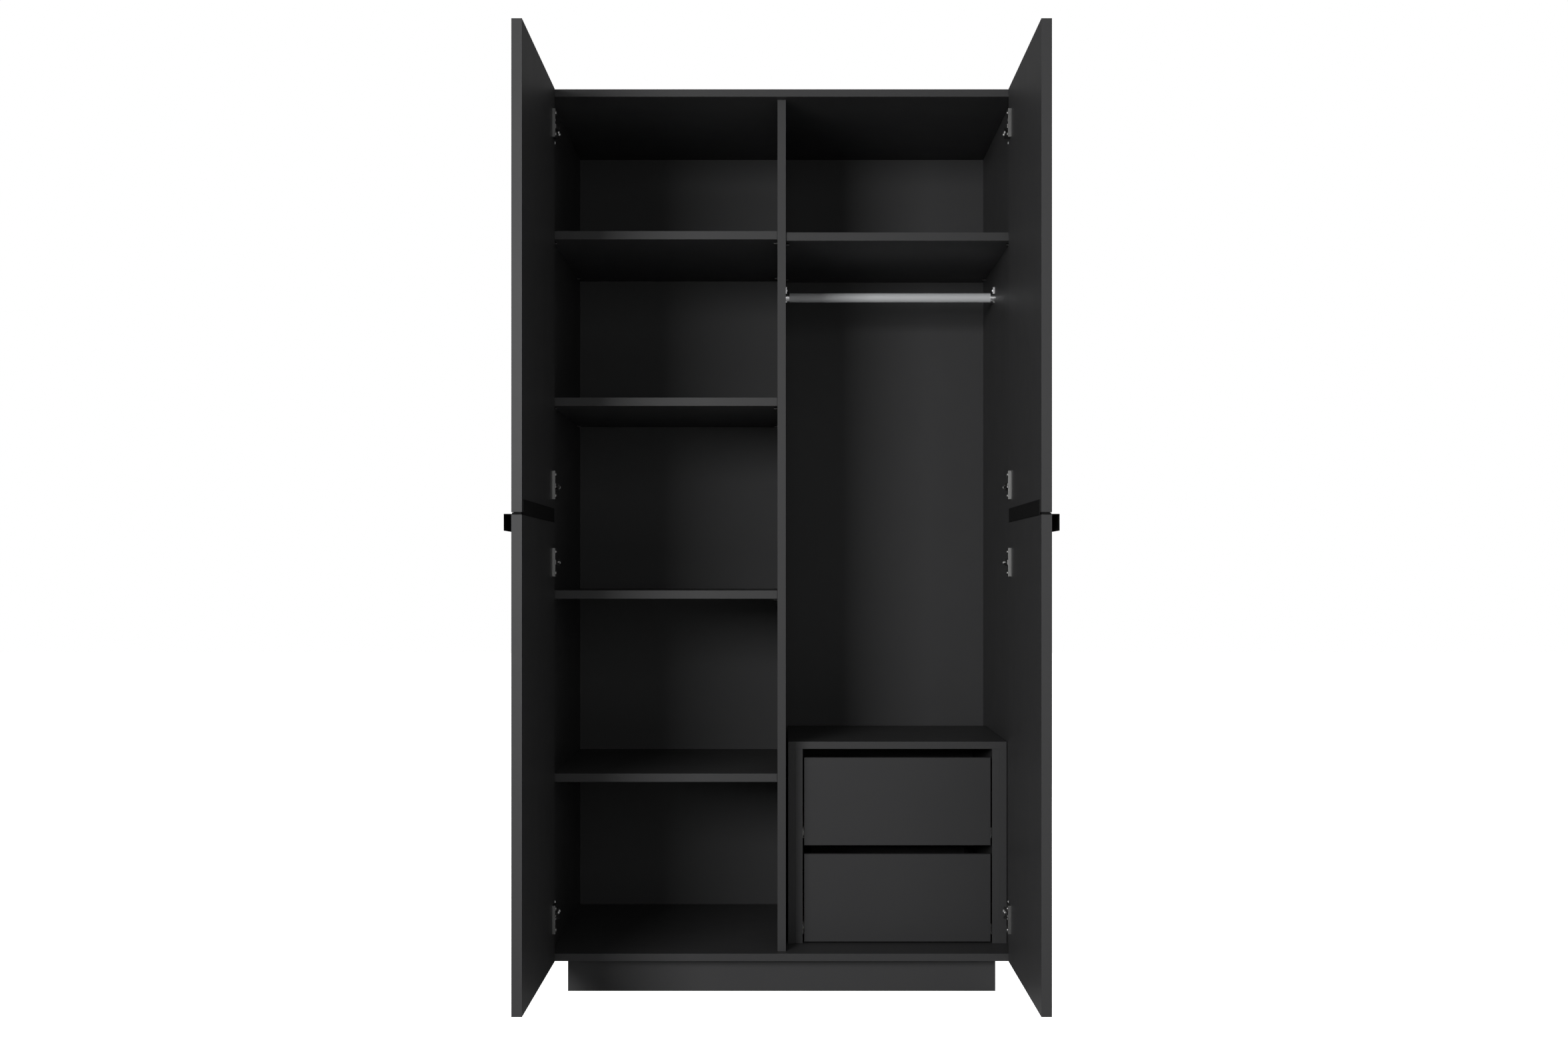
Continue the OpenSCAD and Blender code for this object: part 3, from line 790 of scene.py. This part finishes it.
@dataclass
class SubAssembly:
    """A group of nodes that is dressed together."""

    nodes: dict[str, bpy.types.Object]

    def soften(self, name: str, body: str, slot: Slot, material: bpy.types.Material,
               width: float) -> bpy.types.Object:
        """Stand a copy with rounded edges in for a node.

        Args:
            name: Node name.
            body: Body that carries it.
            slot: Material slot name for the piece.
            material: Finish.
            width: Width of the rounding in metres.

        Returns:
            The piece.
        """
        piece = Fitting("soft_" + name, body, slot, material)
        piece.work = softened(self.nodes[name], width)
        return piece.done(name)

    def clothe(self, name: str, material: bpy.types.Material) -> None:
        """Give a node of the frame its finish.

        Args:
            name: Node name.
            material: Finish for every slot of the node.
        """
        mesh = self.nodes[name].data
        if not mesh.materials:
            mesh.materials.append(material)
        for number in range(len(mesh.materials)):
            mesh.materials[number] = material
        LOG.info("%s wears %s", name, material.name)

    def board(self, name: str, finish: Melamine, edges: Iterable[Edge]) -> None:
        """Give a board its melamine with joint lines beside its edge bands.

        Args:
            name: Node name.
            finish: Melamine of the board.
            edges: Ends that carry a band.
        """
        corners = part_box(name)
        bands = []
        for edge in edges:
            axis, end = edge.value
            inward = finish.band if end == 0 else -finish.band
            bands.append((axis, corners[end][axis] + inward, end == 0))
        self.clothe(name, finish.make(name + "_finish", bands))


@dataclass
class Carcass(SubAssembly):
    """Outer panels, partition, back and dowels."""

    board_finish: Melamine = Melamine()
    back_finish: BackBoard = BackBoard()
    beech: Beech = Beech()
    nail_metal: Metal = Metal((0.46, 0.46, 0.45), 0.4)
    nail_radius: float = 0.0029
    nail_proud: float = 0.0007
    nail_margin: float = 0.008
    nail_spacing: float = 0.14

    def dress(self) -> None:
        """Dress the carcass and nail its back on."""
        for name in ("top_panel", "bottom_panel"):
            self.board(name, self.board_finish, (Edge.FRONT,))
        for name in ("left_side_panel", "right_side_panel"):
            self.board(name, self.board_finish, (Edge.FRONT, Edge.TOP, Edge.BOTTOM))
        self.board("centre_partition", self.board_finish, (Edge.FRONT,))
        low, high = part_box("back_panel")
        self.clothe("back_panel", self.back_finish.make("back_board", Axis.Y, (low.y + high.y) / 2))
        self.clothe("carcass_dowels", self.beech.make("beech_dowels"))
        self.nail_back()

    def nail_back(self) -> None:
        """Drive a row of flat nails along every edge of the back and along the partition."""
        low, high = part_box("back_panel")
        left, right = low.x + self.nail_margin, high.x - self.nail_margin
        foot, top = low.z + self.nail_margin, high.z - self.nail_margin
        heights = spaced(foot, top, self.nail_spacing)
        widths = spaced(left, right, self.nail_spacing)
        places = [(x, z) for x in (left, 0.0, right) for z in heights]
        places += [(x, z) for z in (foot, top) for x in widths[1:-1] if abs(x) > self.nail_margin]
        head = NailHead().mesh
        nails = Fitting("back_nails", "carcass", Slot.NICKEL, self.nail_metal.make("bright_nails"))
        rearward = Vector((0.0, 1.0, 0.0))
        for x, z in places:
            nails.add(head, Vector((x, high.y, z)), rearward, self.nail_radius, self.nail_proud)
        nails.done()


@dataclass
class Shelving(SubAssembly):
    """Shelves and their pins."""

    board_finish: Melamine = Melamine()
    pin_finish: Metal = Metal((0.07, 0.07, 0.07), 0.5)

    def dress(self) -> None:
        """Dress the shelves and pins."""
        for name in ("left_shelf_1", "left_shelf_2", "left_shelf_3", "left_shelf_4", "right_shelf"):
            self.board(name, self.board_finish, (Edge.FRONT,))
        self.clothe("shelf_pins", self.pin_finish.make("burnished_pins"))


@dataclass
class Plinth(SubAssembly):
    """Recessed frame under the carcass."""

    board_finish: Melamine = Melamine()

    def dress(self) -> None:
        """Dress the plinth."""
        self.board("plinth_front", self.board_finish, (Edge.BOTTOM, Edge.LEFT, Edge.RIGHT))
        for name in ("plinth_back", "plinth_side_rails", "plinth_cross_rail"):
            self.board(name, self.board_finish, (Edge.BOTTOM,))


@dataclass
class HangingRail(SubAssembly):
    """Round tube and its sockets."""

    tube: Metal = Metal((0.49, 0.50, 0.51), 0.5, metallic=0.0, across=(0.04, 1.0, 1.0), grain=0.000004)
    socket: Metal = Metal((0.60, 0.60, 0.61), 0.28)
    socket_ease: float = 0.0004
    plate_thick: float = 0.003
    screw_drop: float = 0.0075
    screw_radius: float = 0.0036
    screw_height: float = 0.0021

    def dress(self) -> None:
        """Dress the rail, round the sockets and screw them on."""
        self.clothe("hanging_rail", self.tube.make("chrome_tube"))
        cast = self.socket.make("cast_sockets")
        self.soften("rail_brackets", "carcass", Slot.CHROME, cast, self.socket_ease)
        head = ScrewHead().mesh
        screws = Fitting("rail_bracket_screws", "carcass", Slot.CHROME, cast)
        left, right = solids(self.nodes["rail_brackets"])
        height = left.high.z - self.screw_drop
        faces = ((left.low.x + self.plate_thick, 1.0), (right.high.x - self.plate_thick, -1.0))
        for face, outward in faces:
            seat = Vector((face, left.middle.y, height))
            screws.add(head, seat, Vector((outward, 0.0, 0.0)), self.screw_radius, self.screw_height)
        screws.done()


@dataclass
class Doors(SubAssembly):
    """Four doors with bands on all edges."""

    finish: Melamine = Melamine(colour=(0.046, 0.046, 0.047))
    banded: tuple[Edge, ...] = (Edge.FRONT, Edge.BACK, Edge.BOTTOM, Edge.TOP)

    def dress(self) -> None:
        """Dress the doors."""
        for side in Side:
            for row in Row:
                self.board(f"door_{row.value}_{side.value}", self.finish, self.banded)


@dataclass
class HandleStrips(SubAssembly):
    """Folded black strips between the rows of doors."""

    lacquer: Metal = Metal((0.005, 0.005, 0.005), 0.7, metallic=0.0, specular=0.05, spots=0.1)
    satin: Metal = Metal((0.011, 0.011, 0.011), 0.6, metallic=0.0, specular=0.1, spots=0.1)
    felt: Felt = Felt()
    fold: float = 0.00045
    sheet: float = 0.0012
    felt_rim: float = 0.001

    def dress(self) -> None:
        """Round the bends and rims of the strips, their flanges in a plainer satin black."""
        lacquer = self.lacquer.make("black_lacquer")
        satin = self.satin.make("satin_black")
        felt = self.felt.make("black_felt")
        for side in Side:
            name = f"handle_strip_{side.value}"
            body = f"door_lower_{side.value}"
            piece = self.soften(name, body, Slot.STRIP, lacquer, self.fold)
            piece.data.materials.append(satin)
            door_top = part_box(body)[1].z
            for face in piece.data.polygons:
                face.material_index = int(face.center.z > door_top + 2 * self.sheet)
            self.line_gap(side, felt)

    def line_gap(self, side: Side, felt: bpy.types.Material) -> None:
        """Lay a thin felt on the web of a strip, just clear of the upper door.

        Args:
            side: Side of the wardrobe.
            felt: Finish of the felt.
        """
        body = f"door_lower_{side.value}"
        low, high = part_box(body)
        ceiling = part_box(f"door_upper_{side.value}")[0].z
        foot, top = high.z + self.sheet, ceiling - self.felt_rim
        size = Vector((high.x - low.x - 2 * self.felt_rim, high.y - low.y - 2 * self.felt_rim, top - foot))
        middle = Vector(((low.x + high.x) / 2, (low.y + high.y) / 2, (foot + top) / 2))
        piece = Fitting(f"gap_felt_{side.value}", body, Slot.STRIP, felt)
        block = bmesh.ops.create_cube(piece.work, size=1.0)["verts"]
        bmesh.ops.scale(piece.work, vec=size, verts=block)
        bmesh.ops.translate(piece.work, vec=middle, verts=block)
        ease(piece.work, piece.work.edges[:], self.felt_rim / 2)
        piece.done()


@dataclass
class Hinges(SubAssembly):
    """Concealed cup hinges."""

    nickel: Metal = Metal((0.21, 0.21, 0.207), 0.34)
    steel: Metal = Metal((0.20, 0.20, 0.20), 0.42)
    zinc: Metal = Metal((0.88, 0.88, 0.87), 0.32)
    ease: float = 0.00025
    head_stretch: float = 1.7

    def dress(self) -> None:
        """Round and dress the hinges."""
        bright = self.nickel.make("nickel_plate")
        dull = self.steel.make("dull_nickel")
        for name in ("hinge_plates", "hinge_arms"):
            self.soften(name, "carcass", Slot.NICKEL, dull, self.ease)
        self.screws(self.zinc.make("zinc_screws"))
        for side in Side:
            for row in Row:
                word = f"{row.value}_{side.value}"
                for name in ("main_links", "short_links"):
                    self.soften(f"{name}_{word}", f"{name}_{word}", Slot.NICKEL, dull, self.ease)
                self.soften(f"hinge_cups_{word}", f"door_{word}", Slot.NICKEL, bright, self.ease)

    def screws(self, finish: bpy.types.Material) -> None:
        """Put a domed cross-head in the place of each screw.

        Args:
            finish: Metal of the screws.
        """
        head = ScrewHead().mesh
        screws = Fitting("hinge_screw_heads", "carcass", Slot.NICKEL, finish)
        for solid in solids(self.nodes["hinge_screws"]):
            on_left = solid.middle.x < 0
            seat = Vector((solid.low.x if on_left else solid.high.x, solid.middle.y, solid.middle.z))
            outward = Vector((1.0 if on_left else -1.0, 0.0, 0.0))
            across = (solid.high.y - solid.low.y) / 2
            screws.add(head, seat, outward, across, (solid.high.x - solid.low.x) * self.head_stretch)
        screws.done("hinge_screws")


@dataclass
class DrawerInsert(SubAssembly):
    """Low box on the right that holds the drawers."""

    board_finish: Melamine = Melamine()
    runner: Metal = Metal((0.74, 0.74, 0.73), 0.38, metallic=0.0, spots=0.03)
    nylon: Nylon = Nylon()
    screw_metal: Metal = Metal((0.55, 0.55, 0.54), 0.35)
    runner_sheet: float = 0.0012
    screw_radius: float = 0.003
    screw_height: float = 0.0004
    screw_shares: tuple[float, ...] = (0.2, 0.55, 0.9)

    def dress(self) -> None:
        """Dress the insert, its runners and rollers."""
        self.board("insert_top", self.board_finish, (Edge.FRONT, Edge.LEFT, Edge.RIGHT))
        for name in ("insert_left_side", "insert_right_side", "insert_fillers"):
            self.board(name, self.board_finish, (Edge.FRONT, Edge.TOP))
        self.board("insert_back_rails", self.board_finish, (Edge.BOTTOM,))
        finish = self.runner.make("lacquered_runner")
        rollers = self.nylon.make("nylon_rollers")
        self.clothe("fixed_runners", finish)
        for row in Row:
            self.clothe(f"drawer_runners_{row.value}", finish)
            self.clothe(f"front_rollers_{row.value}", rollers)
            self.clothe(f"rear_rollers_{row.value}", rollers)
        self.screw_runners()

    def screw_runners(self) -> None:
        """Fix each fixed runner to its side board with low screws inside its channel."""
        head = ScrewHead().mesh
        screws = Fitting("runner_screws", "carcass", Slot.RUNNER, self.screw_metal.make("zinc_runner_screws"))
        centre = (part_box("insert_left_side")[1].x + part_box("insert_right_side")[0].x) / 2
        for channel in solids(self.nodes["fixed_runners"]):
            on_left = channel.middle.x < centre
            web = channel.low.x + self.runner_sheet if on_left else channel.high.x - self.runner_sheet
            outward = Vector((1.0 if on_left else -1.0, 0.0, 0.0))
            for share in self.screw_shares:
                along = channel.low.y + share * (channel.high.y - channel.low.y)
                seat = Vector((web, along, channel.middle.z))
                screws.add(head, seat, outward, self.screw_radius, self.screw_height)
        screws.done()


@dataclass
class Drawers(SubAssembly):
    """Two drawer boxes with their fronts."""

    # Painted shade: the drawers wear a darker copy of the carcass melamine, standing in for the shade inside
    # the recessed insert
    board_finish: Melamine = Melamine(colour=(0.033, 0.033, 0.034))
    front_banded: tuple[Edge, ...] = (Edge.BOTTOM, Edge.TOP, Edge.LEFT, Edge.RIGHT)
    bottom_finish: BackBoard = BackBoard(inside=BackBoard.rear, rear=BackBoard.inside)

    def dress(self) -> None:
        """Dress the drawers, their bottoms with the print upwards."""
        for row in Row:
            self.board(f"drawer_front_{row.value}", self.board_finish, self.front_banded)
            self.board(f"drawer_sides_{row.value}", self.board_finish, (Edge.TOP,))
            self.board(f"drawer_back_{row.value}", self.board_finish, (Edge.TOP,))
            bottom = f"drawer_bottom_{row.value}"
            low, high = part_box(bottom)
            self.clothe(bottom, self.bottom_finish.make(bottom + "_board", Axis.Z, (low.z + high.z) / 2))


# ---- studio ----

WHITE = (1.0, 1.0, 1.0, 1.0)


@dataclass(frozen=True)
class Lamp:
    """A soft light: where it hangs, its width and height in metres, and its power in watts."""

    place: Place
    size: tuple[float, float]
    power: float


@dataclass
class Studio:
    """Floor, lights, surroundings and camera."""

    eye: Place = (0.0, -4.374, 0.901)
    lens: float = 43.4
    film: float = 36.0
    shift: tuple[float, float] = (0.0015, 0.0348)
    sight: float = 60.0
    floor_reach: float = 14.0
    floor_centre: Place = (0.0, 4.0, -0.0005)
    floor_colour: Colour = (0.75, 0.75, 0.75)
    floor_roughness: float = 0.9
    lamp_aim: Place = (0.0, -0.31, 1.0)
    key: Lamp = Lamp((-2.2, -5.7, 1.85), (1.8, 1.35), 216.0)
    fill: Lamp = Lamp((0.9, -5.0, 1.6), (2.2, 2.0), 24.0)
    rear: Lamp = Lamp((2.6, 3.0, 1.2), (1.6, 1.3), 130.0)
    front_glow: float = 0.105
    back_glow: float = 0.11
    sky_glow: float = 0.22
    glow_turn: float = 0.8

    def floor(self) -> None:
        """Lay a plain pale floor that looks white, as its surroundings do."""
        mesh = bpy.data.meshes.new("floor")
        plane = bmesh.new()
        bmesh.ops.create_grid(plane, x_segments=1, y_segments=1, size=self.floor_reach)
        bmesh.ops.translate(plane, vec=self.floor_centre, verts=plane.verts)
        plane.to_mesh(mesh)
        plane.free()
        floor = bpy.data.objects.new("floor", mesh)
        bpy.context.scene.collection.objects.link(floor)
        material = bpy.data.materials.new("pale_floor")
        material.use_nodes = True
        nodes = material.node_tree.nodes
        links = material.node_tree.links
        shader = nodes["Principled BSDF"]
        shader.inputs["Base Color"].default_value = (*self.floor_colour, 1.0)
        shader.inputs["Roughness"].default_value = self.floor_roughness
        shader.inputs["Emission Color"].default_value = WHITE
        path = nodes.new("ShaderNodeLightPath")
        links.new(path.outputs["Is Camera Ray"], shader.inputs["Emission Strength"])
        mesh.materials.append(material)

    def surroundings(self) -> None:
        """Make the surroundings white to look at, and a dim light that grows towards the sky."""
        world = bpy.data.worlds.new("studio")
        world.use_nodes = True
        nodes = world.node_tree.nodes
        links = world.node_tree.links
        background = nodes["Background"]
        direction = nodes.new("ShaderNodeSeparateXYZ")
        links.new(nodes.new("ShaderNodeTexCoord").outputs["Generated"], direction.inputs["Vector"])
        glow = nodes.new("ShaderNodeMapRange")
        glow.inputs["From Min"].default_value = -self.glow_turn
        glow.inputs["From Max"].default_value = self.glow_turn
        glow.inputs["To Min"].default_value = self.front_glow
        glow.inputs["To Max"].default_value = self.back_glow
        links.new(direction.outputs["Y"], glow.inputs["Value"])
        sky = nodes.new("ShaderNodeMapRange")
        sky.inputs["To Max"].default_value = self.sky_glow
        links.new(direction.outputs["Z"], sky.inputs["Value"])
        both = nodes.new("ShaderNodeMath")
        both.operation = "ADD"
        links.new(glow.outputs["Result"], both.inputs[0])
        links.new(sky.outputs["Result"], both.inputs[1])
        path = nodes.new("ShaderNodeLightPath")
        strength = nodes.new("ShaderNodeMapRange")
        strength.inputs["To Max"].default_value = 1.0
        links.new(both.outputs["Value"], strength.inputs["To Min"])
        links.new(path.outputs["Is Camera Ray"], strength.inputs["Value"])
        links.new(strength.outputs["Result"], background.inputs["Strength"])
        background.inputs["Color"].default_value = WHITE
        bpy.context.scene.world = world

    def lights(self) -> None:
        """Hang the lights, all aimed at one point."""
        aim = Vector(self.lamp_aim)
        for name, lamp in (("key", self.key), ("fill", self.fill), ("rear", self.rear)):
            data = bpy.data.lights.new(name, "AREA")
            data.shape = "RECTANGLE"
            data.size, data.size_y = lamp.size
            data.energy = lamp.power
            light = bpy.data.objects.new(name, data)
            light.location = lamp.place
            light.rotation_euler = (aim - Vector(lamp.place)).to_track_quat("-Z", "Y").to_euler()
            bpy.context.scene.collection.objects.link(light)

    def camera(self) -> None:
        """Set the camera straight before the wardrobe."""
        data = bpy.data.cameras.new("camera")
        data.lens = self.lens
        data.sensor_width = self.film
        data.sensor_fit = "HORIZONTAL"
        data.shift_x, data.shift_y = self.shift
        data.clip_end = self.sight
        camera = bpy.data.objects.new("camera", data)
        camera.location = self.eye
        camera.rotation_euler = (math.radians(90.0), 0.0, 0.0)
        bpy.context.scene.collection.objects.link(camera)
        bpy.context.scene.camera = camera

    def build(self) -> None:
        """Build the whole studio."""
        self.camera()
        self.floor()
        self.surroundings()
        self.lights()
        scene = bpy.context.scene
        scene.view_settings.view_transform = "Standard"
        scene.view_settings.look = "None"


def main() -> None:
    """Dress the wardrobe and build its studio."""
    logging.basicConfig(level=logging.INFO, format="%(name)s: %(message)s")
    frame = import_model()
    nodes = frame["nodes"]
    Studio().build()
    for assembly in (Carcass(nodes), Shelving(nodes), Plinth(nodes), HangingRail(nodes), Doors(nodes),
                     HandleStrips(nodes), Hinges(nodes), DrawerInsert(nodes), Drawers(nodes)):
        assembly.dress()


if __name__ == "__main__":
    main()
